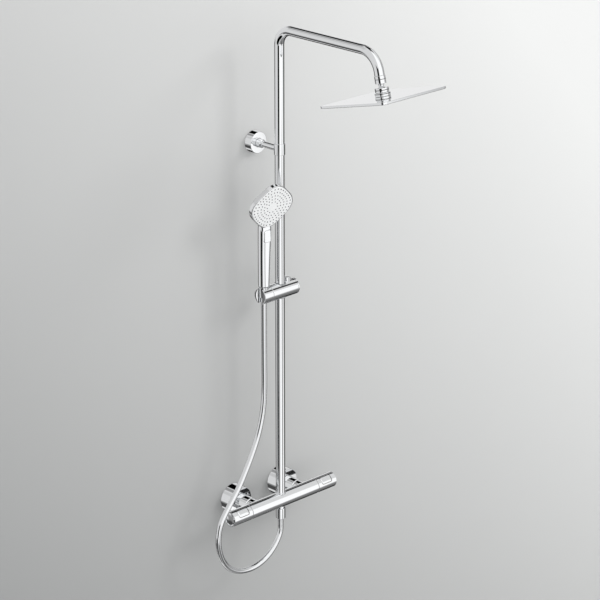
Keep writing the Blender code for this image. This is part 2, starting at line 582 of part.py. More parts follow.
def outlet():
    """Hose connection under the mixer."""
    turned("outlet_nipple", "chrome", [
        (-9.8 * MM, 6 * MM), (-9.8 * MM, 9.3 * MM), (-36 * MM, 9.3 * MM), (-36 * MM, 6 * MM)],
        UP, COLUMN, 16)
    ring("hose_washer", "rubber", -38.2 * MM, -36.3 * MM, 9.3 * MM, 6 * MM, UP, COLUMN, 16)
    turned("hose_nut", "chrome", [
        (-21.5 * MM, 9.7 * MM), (-21.5 * MM, 10.7 * MM), (-22.3 * MM, 11.3 * MM), (-46.7 * MM, 11.3 * MM),
        (-47.5 * MM, 10.5 * MM), (-47.5 * MM, 5 * MM), (-38.5 * MM, 5 * MM), (-38.5 * MM, 9.7 * MM)],
        UP, COLUMN, 20)


def hose_route():
    """Points chosen along the hose, in the vertical plane of the riser."""
    top = CONE_BOTTOM_Z - GAP
    route = [
        (0, HOSE_START_Z), (0, -62 * MM), (-1 * MM, -80 * MM), (-12 * MM, -103 * MM), (-31 * MM, -124 * MM),
        (-55 * MM, -139 * MM), (-84 * MM, -147 * MM), (-115 * MM, -146 * MM), (-143 * MM, -138 * MM),
        (-168 * MM, -121 * MM), (-187 * MM, -95 * MM), (-197 * MM, -63 * MM), (-198 * MM, -33 * MM),
        (-191 * MM, -4 * MM), (-177 * MM, 18 * MM), (-157 * MM, 42 * MM), (-134 * MM, 71 * MM),
        (-115 * MM, 101 * MM), (-98 * MM, 130 * MM), (-83 * MM, 159 * MM), (-71 * MM, 187 * MM),
        (-61.5 * MM, 217 * MM), (-55 * MM, 246 * MM), (-51.8 * MM, 275 * MM), (CONE_X, 310 * MM),
        (CONE_X, 360 * MM), (CONE_X, 410 * MM), (CONE_X, 460 * MM), (CONE_X, top - 20 * MM), (CONE_X, top)]
    return [COLUMN + Vector((x, 0, z)) for x, z in route]


def smooth_points(route, count):
    """Evenly spaced points on a centripetal Catmull-Rom curve through the route."""
    ends = [2 * route[0] - route[1]] + route + [2 * route[-1] - route[-2]]
    dense = []
    for a, b, c, d in zip(ends, ends[1:], ends[2:], ends[3:]):
        t1 = (b - a).length ** 0.5
        t2 = t1 + (c - b).length ** 0.5
        t3 = t2 + (d - c).length ** 0.5
        for i in range(12):
            t = t1 + (t2 - t1) * i / 12
            p1 = a.lerp(b, t / t1)
            p2 = b.lerp(c, (t - t1) / (t2 - t1))
            p3 = c.lerp(d, (t - t2) / (t3 - t2))
            before = p1.lerp(p2, t / t2)
            after = p2.lerp(p3, (t - t1) / (t3 - t1))
            dense.append(before.lerp(after, (t - t1) / (t2 - t1)))
    dense.append(route[-1])
    runs = [0.0]
    for a, b in zip(dense, dense[1:]):
        runs.append(runs[-1] + (b - a).length)
    points = []
    k = 0
    for i in range(count):
        want = runs[-1] * i / (count - 1)
        while k < len(runs) - 2 and runs[k + 1] < want:
            k += 1
        points.append(dense[k].lerp(dense[k + 1], (want - runs[k]) / (runs[k + 1] - runs[k])))
    return points


def hose():
    curve = bpy.data.curves.new("hose", "CURVE")
    curve.dimensions = "3D"
    spline = curve.splines.new("POLY")
    points = smooth_points(hose_route(), HOSE_POINTS)
    spline.points.add(len(points) - 1)
    for target, point in zip(spline.points, points):
        target.co = (*point, 1)
    curve.bevel_depth = HOSE_R
    curve.bevel_resolution = 2
    curve.use_fill_caps = True
    curve.materials.append(material("hose", "hose_silver"))
    bpy.context.collection.objects.link(bpy.data.objects.new("hose", curve))


def build():
    clear_scene()
    wall_unions()
    mixer()
    knob("temperature", "safety_stop_button", BAR_CENTRE_X - BAR_LENGTH / 2, 1)
    knob("flow", "eco_button", BAR_CENTRE_X + BAR_LENGTH / 2, -1)
    wall_bracket()
    riser_and_arm()
    rain_head()
    rain_plate()
    slider()
    handset_holder()
    handset()
    outlet()
    hose()


build()
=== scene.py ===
"""Looks of the thermostatic shower column: chrome, white spray faces, rubber nozzles and the hose.

Metres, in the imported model's frame: the wall is y = 0, the column stands out towards -Y, +Z up.
"""

import math

import bmesh
import bpy
from mathutils import Matrix, Vector


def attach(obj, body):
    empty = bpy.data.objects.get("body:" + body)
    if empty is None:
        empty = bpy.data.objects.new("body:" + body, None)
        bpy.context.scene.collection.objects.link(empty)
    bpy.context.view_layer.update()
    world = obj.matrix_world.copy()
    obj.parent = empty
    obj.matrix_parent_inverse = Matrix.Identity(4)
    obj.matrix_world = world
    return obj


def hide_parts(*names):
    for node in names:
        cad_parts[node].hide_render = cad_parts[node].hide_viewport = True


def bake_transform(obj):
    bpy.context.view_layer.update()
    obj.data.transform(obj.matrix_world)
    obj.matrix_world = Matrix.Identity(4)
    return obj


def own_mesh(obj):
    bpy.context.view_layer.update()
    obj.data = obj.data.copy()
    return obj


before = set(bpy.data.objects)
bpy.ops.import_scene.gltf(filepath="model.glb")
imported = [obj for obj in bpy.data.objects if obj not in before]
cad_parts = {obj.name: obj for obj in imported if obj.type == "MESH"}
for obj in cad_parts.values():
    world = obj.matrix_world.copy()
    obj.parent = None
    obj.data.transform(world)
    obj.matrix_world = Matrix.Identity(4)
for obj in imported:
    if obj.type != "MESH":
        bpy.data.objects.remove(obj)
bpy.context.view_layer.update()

MM = 0.001
GAP = 0.3 * MM
UP = Vector((0, 0, 1))
OUT = Vector((0, -1, 0))
RIGHT = Vector((1, 0, 0))

# Camera, fitted to the photograph
CAMERA_AT = (-3.737, -4.014, 2.489)
CAMERA_AZIMUTH = math.radians(-44.07)
CAMERA_ELEVATION = math.radians(20.155)
LENS_MM = 151.45
SENSOR_MM = 36.0

# Layout, as in the CAD
COLUMN = Vector((0, -88 * MM, 0))
TUBE_R = 11 * MM
BAR_R = 18.4 * MM
BAR_LEFT = -162 * MM
BAR_RIGHT = 168 * MM
KNOB_LENGTH = 58 * MM
WINDOW_FROM_END = 30.5 * MM
WINDOW_SIZE = (32 * MM, 19 * MM, 4 * MM)  # length, width, corner radius
WINDOW_TURN = math.radians(45)
INLET_X = 75 * MM
ROSE_R = 35 * MM
UNION_NUT_R = 19 * MM
BRACKET_Z = 860 * MM
ARM_Z = 1137 * MM
TOP_BEND_R = 38 * MM
END_BEND_R = 52 * MM
ARM_END_TILT = math.radians(13.8)
ARM_AXIS = Vector((0, -math.sin(ARM_END_TILT), -math.cos(ARM_END_TILT)))
ARM_CORNER = Vector((0, -385 * MM, ARM_Z))
BALL_AT = 79.5 * MM
PLATE_TOP = 93.6 * MM
PLATE_SIDE = 197 * MM
PLATE_CORNER_R = 11 * MM
SLIDER_AT = COLUMN + Vector((0, 0, 524 * MM))
SLIDER_R = 19 * MM
SLIDER_BUTTON_X = 23 * MM
# Painted reflection: where the dark strip painted on the barrels runs, and its half width.
BARREL_REFLECTION_AT = 43  # degrees above straight out of the wall
BARREL_REFLECTION_HALF = 5.5  # degrees
CONE_X = -50.5 * MM
HANDSET_YAW = math.radians(-6.7)
FACE_TILT = math.radians(19.6)
FACE_OUT = 33 * MM
FACE_Z = 743 * MM
FACE_HALF_FLAT = 51 * MM
FACE_POWER = 2.9
HEAD_THICKNESS = 13 * MM
HOSE_R = 6.5 * MM
HOSE_STEP = 2 * MM
HOSE_CUTS = (280 * MM, 360 * MM, 440 * MM)  # heights where one stretch ends and the next begins
SPRING_FOOT = 9.8 * MM
NOZZLE_RINGS = ((0.87, 34), (0.72, 30), (0.57, 24), (0.42, 17), (0.27, 10))  # share of the face, count
RAIN_NOZZLES = 12
RAIN_PITCH = 15 * MM
WALL_Y = 0.0005
FLOOR_Z = -1.05
ROOM_SIDE = 4
ROOM_DEPTH = 5


# ---------------------------------------------------------------- camera

def make_camera():
    data = bpy.data.cameras.new("camera")
    data.sensor_width = SENSOR_MM
    data.lens = LENS_MM
    data.clip_end = 100
    camera = bpy.data.objects.new("camera", data)
    a, e = CAMERA_AZIMUTH, CAMERA_ELEVATION
    back = Vector((math.sin(a) * math.cos(e), -math.cos(a) * math.cos(e), math.sin(e)))
    camera.location = CAMERA_AT
    camera.rotation_mode = "QUATERNION"
    camera.rotation_quaternion = (-back).to_track_quat("-Z", "Y")
    bpy.context.scene.collection.objects.link(camera)
    bpy.context.scene.camera = camera


# ---------------------------------------------------------------- materials

def new_material(name):
    """A material with its Principled shader and its node tree."""
    mat = bpy.data.materials.new(name)
    mat.use_nodes = True
    return mat, mat.node_tree.nodes["Principled BSDF"], mat.node_tree


def add_node(tree, kind, inputs=(), **settings):
    node = tree.nodes.new(kind)
    for key, value in settings.items():
        setattr(node, key, value)
    for key, value in dict(inputs).items():
        node.inputs[key].default_value = value
    return node


def noise_to_roughness(tree, shader, low, high, scale):
    """Faint uneven polish: roughness wanders between low and high.  Gives back the nodes it made."""
    where = add_node(tree, "ShaderNodeTexCoord")
    noise = add_node(tree, "ShaderNodeTexNoise", {"Scale": scale, "Detail": 3.0})
    spread = add_node(tree, "ShaderNodeMapRange", {"To Min": low, "To Max": high})
    tree.links.new(where.outputs["Object"], noise.inputs["Vector"])
    tree.links.new(noise.outputs["Fac"], spread.inputs["Value"])
    tree.links.new(spread.outputs["Result"], shader.inputs["Roughness"])
    return where, noise


def bump_from(tree, shader, height, strength, distance):
    bump = add_node(tree, "ShaderNodeBump", {"Strength": strength, "Distance": distance})
    tree.links.new(height, bump.inputs["Height"])
    tree.links.new(bump.outputs["Normal"], shader.inputs["Normal"])


def chrome_material():
    mat, shader, tree = new_material("polished_chrome")
    shader.inputs["Base Color"].default_value = (0.86, 0.87, 0.88, 1)
    shader.inputs["Metallic"].default_value = 1.0
    noise_to_roughness(tree, shader, 0.025, 0.06, 35.0)
    return mat


def metal_material(name, colour, low, high, scale=90.0):
    mat, shader, tree = new_material(name)
    shader.inputs["Metallic"].default_value = 1.0
    where, noise = noise_to_roughness(tree, shader, low, high, scale)
    tint = add_node(tree, "ShaderNodeMix", data_type="RGBA")
    tint.inputs["A"].default_value = (*[c * 0.86 for c in colour], 1)
    tint.inputs["B"].default_value = (*colour, 1)
    tree.links.new(noise.outputs["Fac"], tint.inputs["Factor"])
    tree.links.new(tint.outputs["Result"], shader.inputs["Base Color"])
    return mat


def plastic_material(name, colour, low, high, grain=900.0):
    """Moulded plastic or rubber with a very fine grain."""
    mat, shader, tree = new_material(name)
    shader.inputs["Base Color"].default_value = (*colour, 1)
    where, noise = noise_to_roughness(tree, shader, low, high, 60.0)
    fine = add_node(tree, "ShaderNodeTexNoise", {"Scale": grain, "Detail": 2.0})
    tree.links.new(where.outputs["Object"], fine.inputs["Vector"])
    bump_from(tree, shader, fine.outputs["Fac"], 0.08, 0.0002)
    return mat


MATERIALS = {}


def make_materials():
    MATERIALS["chrome"] = chrome_material()
    MATERIALS["brass"] = metal_material("turned_brass", (0.80, 0.60, 0.30), 0.18, 0.34)
    MATERIALS["steel"] = metal_material("bright_steel", (0.66, 0.67, 0.68), 0.20, 0.36)
    MATERIALS["white_plastic"] = plastic_material("white_plastic", (0.95, 0.96, 0.965), 0.22, 0.32)
    MATERIALS["grey_plastic"] = plastic_material("grey_plastic", (0.30, 0.31, 0.32), 0.38, 0.50)
    MATERIALS["rubber"] = plastic_material("black_rubber", (0.03, 0.03, 0.03), 0.55, 0.75)
    MATERIALS["nozzle"] = plastic_material("grey_nozzle_rubber", (0.025, 0.025, 0.028), 0.50, 0.65)
    # Dark plastic for the seam rings, and for the painted reflection strips on the barrels.
    MATERIALS["seam"] = plastic_material("dark_seam_and_painted_reflection", (0.02, 0.02, 0.02), 0.50, 0.70)
    MATERIALS["hose"] = hose_material()


def hose_material():
    """Silver spiral under a clear smooth sleeve; the turns show as faint bands along the tube."""
    mat, shader, tree = new_material("silver_hose")
    uv = add_node(tree, "ShaderNodeTexCoord")
    wave = add_node(tree, "ShaderNodeTexWave", {"Scale": 0.16, "Distortion": 0.0}, bands_direction="X")
    tint = add_node(tree, "ShaderNodeMix", data_type="RGBA")
    tint.inputs["A"].default_value = (0.74, 0.75, 0.76, 1)
    tint.inputs["B"].default_value = (0.84, 0.85, 0.86, 1)
    tree.links.new(uv.outputs["UV"], wave.inputs["Vector"])
    tree.links.new(wave.outputs["Fac"], tint.inputs["Factor"])
    tree.links.new(tint.outputs["Result"], shader.inputs["Base Color"])
    bump_from(tree, shader, wave.outputs["Fac"], 0.05, 0.0002)
    shader.inputs["Metallic"].default_value = 1.0
    shader.inputs["Roughness"].default_value = 0.06
    return mat


# ---------------------------------------------------------------- shapes

def along(axis, origin=(0, 0, 0)):
    """Matrix that lays a shape drawn up +Z along the axis, at the origin given."""
    turn = UP.rotation_difference(Vector(axis)).to_matrix().to_4x4()
    return Matrix.Translation(origin) @ turn


def filleted(profile, radius, steps=4, closed=True):
    """Round each corner of a (distance, radius) profile; points on the axis stay sharp."""
    count = len(profile)
    result = []
    for i, corner in enumerate(profile):
        here = Vector(corner)
        if not closed and i in (0, count - 1):
            result.append(tuple(here))
            continue
        before = Vector(profile[i - 1]) - here
        after = Vector(profile[(i + 1) % count]) - here
        if before.length < 1e-7 or after.length < 1e-7:
            continue
        angle = before.angle(after)
        if angle > math.radians(172):
            result.append(tuple(here))
            continue
        reach = min(radius / math.tan(angle / 2), before.length * 0.45, after.length * 0.45)
        r = reach * math.tan(angle / 2)
        start = here + before.normalized() * reach
        end = here + after.normalized() * reach
        centre = here + (before.normalized() + after.normalized()).normalized() * (r / math.sin(angle / 2))
        a = start - centre
        b = end - centre
        sweep = math.atan2(a.x * b.y - a.y * b.x, a.dot(b))
        for k in range(steps + 1):
            t = sweep * k / steps
            c, s = math.cos(t), math.sin(t)
            point = centre + Vector((a.x * c - a.y * s, a.x * s + a.y * c))
            result.append((point.x, max(point.y, 0.0)))
    return result


def skin(bm, loops, closed=False, capped=True):
    """Quads between loops of equal length; a one-point loop closes an end."""
    rings = [[bm.verts.new(p) for p in loop] for loop in loops]
    count = max(len(r) for r in rings)
    pairs = list(zip(rings, rings[1:]))
    if closed:
        pairs.append((rings[-1], rings[0]))
    for a, b in pairs:
        for i in range(count):
            j = (i + 1) % count
            corners = [a[i % len(a)], a[j % len(a)], b[j % len(b)], b[i % len(b)]]
            face = list(dict.fromkeys(corners))
            if len(face) > 2:
                bm.faces.new(face)
    if capped and not closed:
        for ring in (rings[0], rings[-1]):
            if len(ring) > 2:
                bm.faces.new(ring)
    return rings


def turned_loops(profile, segments):
    loops = []
    for distance, radius in profile:
        if radius < 1e-6:
            loops.append([Vector((0, 0, distance))])
            continue
        loop = []
        for i in range(segments):
            angle = math.tau * i / segments
            loop.append(Vector((radius * math.cos(angle), radius * math.sin(angle), distance)))
        loops.append(loop)
    return loops


def make_object(name, bm, material, sharp=40, matrix=None):
    bmesh.ops.recalc_face_normals(bm, faces=bm.faces)
    mesh = bpy.data.meshes.new(name)
    bm.to_mesh(mesh)
    bm.free()
    if matrix:
        mesh.transform(matrix)
    mesh.shade_smooth()
    mesh.set_sharp_from_angle(angle=math.radians(sharp))
    mesh.materials.append(MATERIALS[material])
    obj = bpy.data.objects.new(name, mesh)
    bpy.context.scene.collection.objects.link(obj)
    return obj


def weight_normals(obj):
    modifier = obj.modifiers.new("weighted_normals", "WEIGHTED_NORMAL")
    modifier.keep_sharp = True
    return obj


def turned(name, material, profile, axis, origin, fillet=0.35 * MM, segments=96, sharp=40):
    """Spin a profile round the axis.  It closes on the axis where it starts and ends there."""
    on_axis = profile[0][1] == 0 and profile[-1][1] == 0
    points = filleted(profile, fillet, closed=not on_axis)
    bm = bmesh.new()
    skin(bm, turned_loops(points, segments), closed=not on_axis)
    return weight_normals(make_object(name, bm, material, sharp, along(axis, origin)))


def join(name, objects):
    """Merge meshes into the first object, modifiers kept from the first."""
    bm = bmesh.new()
    materials = []
    for obj in objects:
        for material in obj.data.materials:
            if material not in materials:
                materials.append(material)
    for obj in objects:
        mesh = obj.data
        remap = [materials.index(m) for m in mesh.materials]
        start = len(bm.faces)
        bm.from_mesh(mesh)
        bm.faces.ensure_lookup_table()
        for face in bm.faces[start:]:
            face.material_index = remap[face.material_index]
    joined = bpy.data.meshes.new(name)
    bm.to_mesh(joined)
    bm.free()
    for material in materials:
        joined.materials.append(material)
    first = objects[0]
    first.data = joined
    first.name = name
    for obj in objects[1:]:
        bpy.data.objects.remove(obj)
    return first


def place(obj, body, slot, *nodes):
    """Say which CAD body the piece moves with and which CAD nodes it stands for; the slot is not used."""
    if nodes:
        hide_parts(*nodes)
    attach(obj, body)
    return obj


def boolean(target, cutter, operation="DIFFERENCE"):
    """Apply an exact Boolean to the target's mesh, whatever modifiers come later, and drop the cutter."""
    later = [(m.name, m.type) for m in target.modifiers]
    target.modifiers.clear()
    modifier = target.modifiers.new("cut", "BOOLEAN")
    modifier.operation = operation
    modifier.solver = "EXACT"
    modifier.object = cutter
    bpy.context.view_layer.update()
    evaluated = target.evaluated_get(bpy.context.evaluated_depsgraph_get())
    mesh = bpy.data.meshes.new_from_object(evaluated)
    target.modifiers.clear()
    target.data = mesh
    mesh.shade_smooth()
    mesh.set_sharp_from_angle(angle=math.radians(35))
    bpy.data.objects.remove(cutter)
    if later:
        weight_normals(target)
    return target


def rounded_rectangle(width, depth, radius, per_corner=8):
    points = []
    for corner in range(4):
        sx = (1, -1, -1, 1)[corner]
        sy = (1, 1, -1, -1)[corner]
        cx = sx * (width / 2 - radius)
        cy = sy * (depth / 2 - radius)
        for i in range(per_corner + 1):
            angle = math.pi / 2 * (corner + i / per_corner)
            points.append((cx + radius * math.cos(angle), cy + radius * math.sin(angle)))
    return points


def slab(name, material, width, depth, radius, low, high, matrix, fillet=0.8 * MM, steps=4):
    """A rounded rectangle up local Z whose top and bottom edges are rounded over."""
    loops = []
    for k in range(steps + 1):
        t = math.pi / 2 * k / steps
        inset = fillet * (1 - math.sin(t))
        z = low + fillet * (1 - math.cos(t))
        loops.append((inset, z))
    loops += [(inset, low + high - z) for inset, z in reversed(loops)]
    bm = bmesh.new()
    rings = []
    for inset, z in loops:
        outline = rounded_rectangle(width - 2 * inset, depth - 2 * inset, radius - inset)
        rings.append([Vector((x, y, z)) for x, y in outline])
    skin(bm, rings)
    return weight_normals(make_object(name, bm, material, 40, matrix))


def rod(name, material, start, end, radius, axis, origin, fillet=0.3 * MM, segments=96):
    profile = [(start, 0), (start, radius), (end, radius), (end, 0)]
    return turned(name, material, profile, axis, origin, fillet, segments)


def tube_loops(path, side, radius, segments):
    """Rings square to the path, which lies in the plane that side is square to."""
    loops = []
    last = len(path) - 1
    for i, point in enumerate(path):
        ahead = (path[min(i + 1, last)] - path[max(i - 1, 0)]).normalized()
        other = ahead.cross(side)
        loop = []
        for k in range(segments):
            angle = math.tau * k / segments
            loop.append(point + radius * (math.cos(angle) * side + math.sin(angle) * other))
        loops.append(loop)
    return loops


# ---------------------------------------------------------------- hose

def hose_route():
    """The route's points, in the vertical plane of the riser, as in the CAD."""
    top = 519.5 * MM - GAP
    route = [
        (0, -47.8 * MM), (0, -62 * MM), (-1 * MM, -80 * MM), (-12 * MM, -103 * MM), (-31 * MM, -124 * MM),
        (-55 * MM, -139 * MM), (-84 * MM, -147 * MM), (-115 * MM, -146 * MM), (-143 * MM, -138 * MM),
        (-168 * MM, -121 * MM), (-187 * MM, -95 * MM), (-197 * MM, -63 * MM), (-198 * MM, -33 * MM),
        (-191 * MM, -4 * MM), (-177 * MM, 18 * MM), (-157 * MM, 42 * MM), (-134 * MM, 71 * MM),
        (-115 * MM, 101 * MM), (-98 * MM, 130 * MM), (-83 * MM, 159 * MM), (-71 * MM, 187 * MM),
        (-61.5 * MM, 217 * MM), (-55 * MM, 246 * MM), (-51.8 * MM, 275 * MM), (CONE_X, 310 * MM),
        (CONE_X, 360 * MM), (CONE_X, 410 * MM), (CONE_X, 460 * MM), (CONE_X, top - 20 * MM), (CONE_X, top)]
    return [COLUMN + Vector((x, 0, z)) for x, z in route]


def smooth_points(route, step):
    """Points a step apart on a centripetal Catmull-Rom curve through the route."""
    ends = [2 * route[0] - route[1]] + route + [2 * route[-1] - route[-2]]
    dense = []
    parts = 16
    for a, b, c, d in zip(ends, ends[1:], ends[2:], ends[3:]):
        t1 = (b - a).length ** 0.5
        t2 = t1 + (c - b).length ** 0.5
        t3 = t2 + (d - c).length ** 0.5
        for i in range(parts):
            t = t1 + (t2 - t1) * i / parts
            p1 = a.lerp(b, t / t1)
            p2 = b.lerp(c, (t - t1) / (t2 - t1))
            p3 = c.lerp(d, (t - t2) / (t3 - t2))
            q1 = p1.lerp(p2, t / t2)
            q2 = p2.lerp(p3, (t - t1) / (t3 - t1))
            dense.append(q1.lerp(q2, (t - t1) / (t2 - t1)))
    dense.append(route[-1])
    runs = [0.0]
    for a, b in zip(dense, dense[1:]):
        runs.append(runs[-1] + (b - a).length)
    count = round(runs[-1] / step) + 1
    points = []
    k = 0
    for i in range(count):
        want = runs[-1] * i / (count - 1)
        while k < len(runs) - 2 and runs[k + 1] < want:
            k += 1
        points.append(dense[k].lerp(dense[k + 1], (want - runs[k]) / (runs[k + 1] - runs[k])))
    return points


def hose_stretch(name, loops, first, last):
    """One stretch of the tube, with UVs that run along it."""
    bm = bmesh.new()
    rings = skin(bm, loops[first:last + 1])
    mesh_uv = bm.loops.layers.uv.new("along")
    place_of = {v: (first + i, k) for i, ring in enumerate(rings) for k, v in enumerate(ring)}
    around = len(rings[0])
    for face in bm.faces:
        spots = [place_of[loop.vert] for loop in face.loops]
        wraps = len(spots) == 4 and max(k for i, k in spots) - min(k for i, k in spots) > around / 2
        for loop, (i, k) in zip(face.loops, spots):
            turn = (k + around if wraps and k < around / 2 else k) / around
            loop[mesh_uv].uv = (i * HOSE_STEP / MM, turn)
    return make_object(name, bm, "hose", 60)


def make_hose():
    path = smooth_points(hose_route(), HOSE_STEP)
    loops = tube_loops(path, Vector((0, 1, 0)), HOSE_R, 32)

    def first_above(height):
        rising = [i for i, p in enumerate(path) if p.z > height and i > len(path) / 4]
        return rising[0]

    cuts = [0] + [first_above(height) for height in HOSE_CUTS] + [len(path) - 1]
    names = ("hose_loop", "hose_below_slider", "hose_at_slider", "hose_at_holder")
    across = (("column", "slider_sleeve"), ("slider_sleeve", "slider"), ("slider", "holder"),
              ("holder", "hose_end"))
    for name, first, last, bodies in zip(names, cuts, cuts[1:], across):
        piece = hose_stretch(name, loops, first, last)
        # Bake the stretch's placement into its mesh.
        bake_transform(piece)
    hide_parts("hose")


# ---------------------------------------------------------------- mixer and unions

def make_unions():
    for side, x in (("left", -INLET_X), ("right", INLET_X)):
        at = Vector((x, 0, 0))
        rose = turned(f"{side}_rose", "chrome", [
            (0, 33.5 * MM), (0, ROSE_R), (30 * MM, ROSE_R), (30 * MM, 13.7 * MM), (28.5 * MM, 13.7 * MM),
            (28.5 * MM, 33.5 * MM)], OUT, at, 1.0 * MM, 128)
        place(rose, "column", "chrome", f"rose_{side}")
        nut = turned(f"{side}_round_nut", "chrome", [
            (31 * MM, 13.5 * MM), (31 * MM, 18.2 * MM), (32 * MM, UNION_NUT_R), (36.2 * MM, UNION_NUT_R),
            (36.5 * MM, 18.6 * MM), (36.9 * MM, 18.6 * MM), (37.2 * MM, UNION_NUT_R), (65.4 * MM, UNION_NUT_R),
            (66.7 * MM, 17.8 * MM), (66.7 * MM, 10.7 * MM), (58.4 * MM, 10.7 * MM), (58.4 * MM, 13.5 * MM)],
            OUT, at, 0.4 * MM, 128)
        place(nut, "column", "chrome", f"union_nut_{side}")


def make_mixer():
    left = BAR_LEFT + KNOB_LENGTH + GAP
    right = BAR_RIGHT - KNOB_LENGTH - GAP
    bar = turned("mixer_bar", "chrome", [
        (left, 13.5 * MM), (left, BAR_R), (right, BAR_R), (right, 13.5 * MM)], RIGHT, COLUMN, 0.5 * MM, 160)
    bosses = []
    for x in (-INLET_X, INLET_X):
        bosses.append(turned("boss", "chrome", [
            (67 * MM, 10.5 * MM), (67 * MM, 17.6 * MM), (84 * MM, 17.6 * MM), (84 * MM, 10.5 * MM)],
            OUT, (x, 0, 0), 0.5 * MM, 96))
    join("mixer_bar", [bar] + bosses)
    place(bar, "column", "chrome", "mixer_body")

    collar = turned("riser_foot_ring", "chrome", [
        (16.5 * MM, 11.05 * MM), (16.5 * MM, 12.6 * MM), (19.2 * MM, 12.6 * MM), (19.2 * MM, 11.05 * MM)],
        UP, COLUMN, 0.5 * MM)
    place(collar, "column", "chrome")
    nut = turned("outlet_nut", "chrome", [
        (-21.5 * MM, 9.7 * MM), (-21.5 * MM, 11.3 * MM), (-47.5 * MM, 11.3 * MM), (-47.5 * MM, 7 * MM),
        (-38.5 * MM, 7 * MM), (-38.5 * MM, 9.7 * MM)], UP, COLUMN, 0.7 * MM)
    place(nut, "column", "chrome", "hose_nut")


def window_outline(clearance):
    length, width, corner = WINDOW_SIZE
    return rounded_rectangle(length + 2 * clearance, width + 2 * clearance, corner + clearance)


def curved_button(name, matrix, crown, bottom):
    """A rounded rectangle whose top follows the bar's round, with its rim eased over."""
    outline = window_outline(-0.55 * MM)
    ease = 0.35 * MM
    rings = 9
    length, width, _ = WINDOW_SIZE
    loops = [[Vector((0, 0, crown))]]
    for k in range(1, rings + 1):
        share = k / rings
        ring = []
        for x, w in outline:
            u = x * share * (1 - 2 * ease / length)
            v = w * share * (1 - 2 * ease / width)
            ring.append(Vector((u, v, math.sqrt(crown ** 2 - v ** 2))))
        loops.append(ring)
    loops.append([Vector((x, w, math.sqrt(crown ** 2 - w ** 2) - ease)) for x, w in outline])
    loops.append([Vector((x, w, bottom)) for x, w in outline])
    bm = bmesh.new()
    skin(bm, loops)
    return weight_normals(make_object(name, bm, "chrome", 50, matrix))


def make_handles():
    """Turning handles at the bar's ends, each with a push button let into its upper front."""
    for prefix, button_name, body, press_body, x_end, way in (
            ("temperature", "safety_stop_button", "temperature_handle", "safety_stop", BAR_LEFT, 1),
            ("flow", "eco_button", "flow_handle", "eco_stop", BAR_RIGHT, -1)):
        origin = COLUMN + Vector((x_end, 0, 0))
        axis = RIGHT * way
        seam = KNOB_LENGTH - 0.5 * MM
        sleeve = turned(f"{prefix}_sleeve", "chrome", [
            (1.6 * MM, 15.8 * MM), (0, 16.4 * MM), (0, BAR_R), (seam, BAR_R), (seam, 14.5 * MM),
            (8.5 * MM, 14.5 * MM), (8.5 * MM, 6.5 * MM), (5.2 * MM, 6.5 * MM), (5.2 * MM, 15.8 * MM)],
            axis, origin, 0.5 * MM, 160)
        centre = origin + axis * WINDOW_FROM_END
        matrix = Matrix.Translation(centre) @ Matrix.Rotation(WINDOW_TURN, 4, "X")
        bm = bmesh.new()
        skin(bm, [[Vector((x, w, z)) for x, w in window_outline(0.28 * MM)] for z in (10 * MM, 30 * MM)])
        boolean(sleeve, make_object("window", bm, "chrome", 40, matrix))
        place(sleeve, body, "chrome", f"{prefix}_knob")
        button = curved_button(f"{button_name}_cap", matrix, BAR_R + 0.1 * MM, 11.5 * MM)
        place(button, press_body, "chrome", button_name)
        cap = turned(f"{prefix}_end_disc", "chrome", [
            (4.9 * MM, 0), (4.9 * MM, 15.4 * MM), (0.9 * MM, 15.4 * MM), (0.1 * MM, 13 * MM),
            (-0.3 * MM, 8 * MM), (-0.45 * MM, 0)], axis, origin, 0.3 * MM, 128, 50)
        place(cap, body, "chrome", f"{prefix}_end_cap")
        groove = turned(f"{prefix}_seam_ring", "seam", [
            (seam - 1 * MM, 15 * MM), (seam - 1 * MM, 17.7 * MM), (seam + 0.7 * MM, 17.7 * MM),
            (seam + 0.7 * MM, 15 * MM)], axis, origin, 0.05 * MM, 96)
        place(groove, body, "grey_plastic")


# ---------------------------------------------------------------- riser, bracket and arm

def make_bracket():
    at = Vector((0, 0, BRACKET_Z))
    flange = turned("bracket_cover", "chrome", [
        (0, 23.5 * MM), (0, 25 * MM), (20 * MM, 25 * MM), (20 * MM, 10.4 * MM), (18.5 * MM, 10.4 * MM),
        (18.5 * MM, 23.5 * MM)], OUT, at, 0.9 * MM, 128)
    place(flange, "column", "chrome", "wall_flange")
    stem = turned("bracket_arm", "chrome", [
        (15.5 * MM, 0), (15.5 * MM, 10 * MM), (31.5 * MM, 10 * MM), (32.4 * MM, 6.75 * MM),
        (76.2 * MM, 6.75 * MM), (76.2 * MM, 0)], OUT, at, 0.6 * MM, 96)
    place(stem, "column", "chrome", "bracket_stem")
    ring = turned("riser_clamp_ring", "chrome", [
        (-13 * MM, 11.2 * MM), (-13 * MM, 12.5 * MM), (13 * MM, 12.5 * MM), (13 * MM, 11.2 * MM)],
        UP, COLUMN + at, 0.5 * MM, 96)
    place(ring, "column", "chrome", "riser_ring")


def make_riser():
    tube = turned("riser", "chrome", [
        (6.6 * MM, 9.5 * MM), (6.6 * MM, TUBE_R), (BRACKET_Z - GAP, TUBE_R), (BRACKET_Z - GAP, 9.5 * MM)],
        UP, COLUMN, 0.2 * MM, 96)
    place(tube, "column", "chrome", "riser_tube")


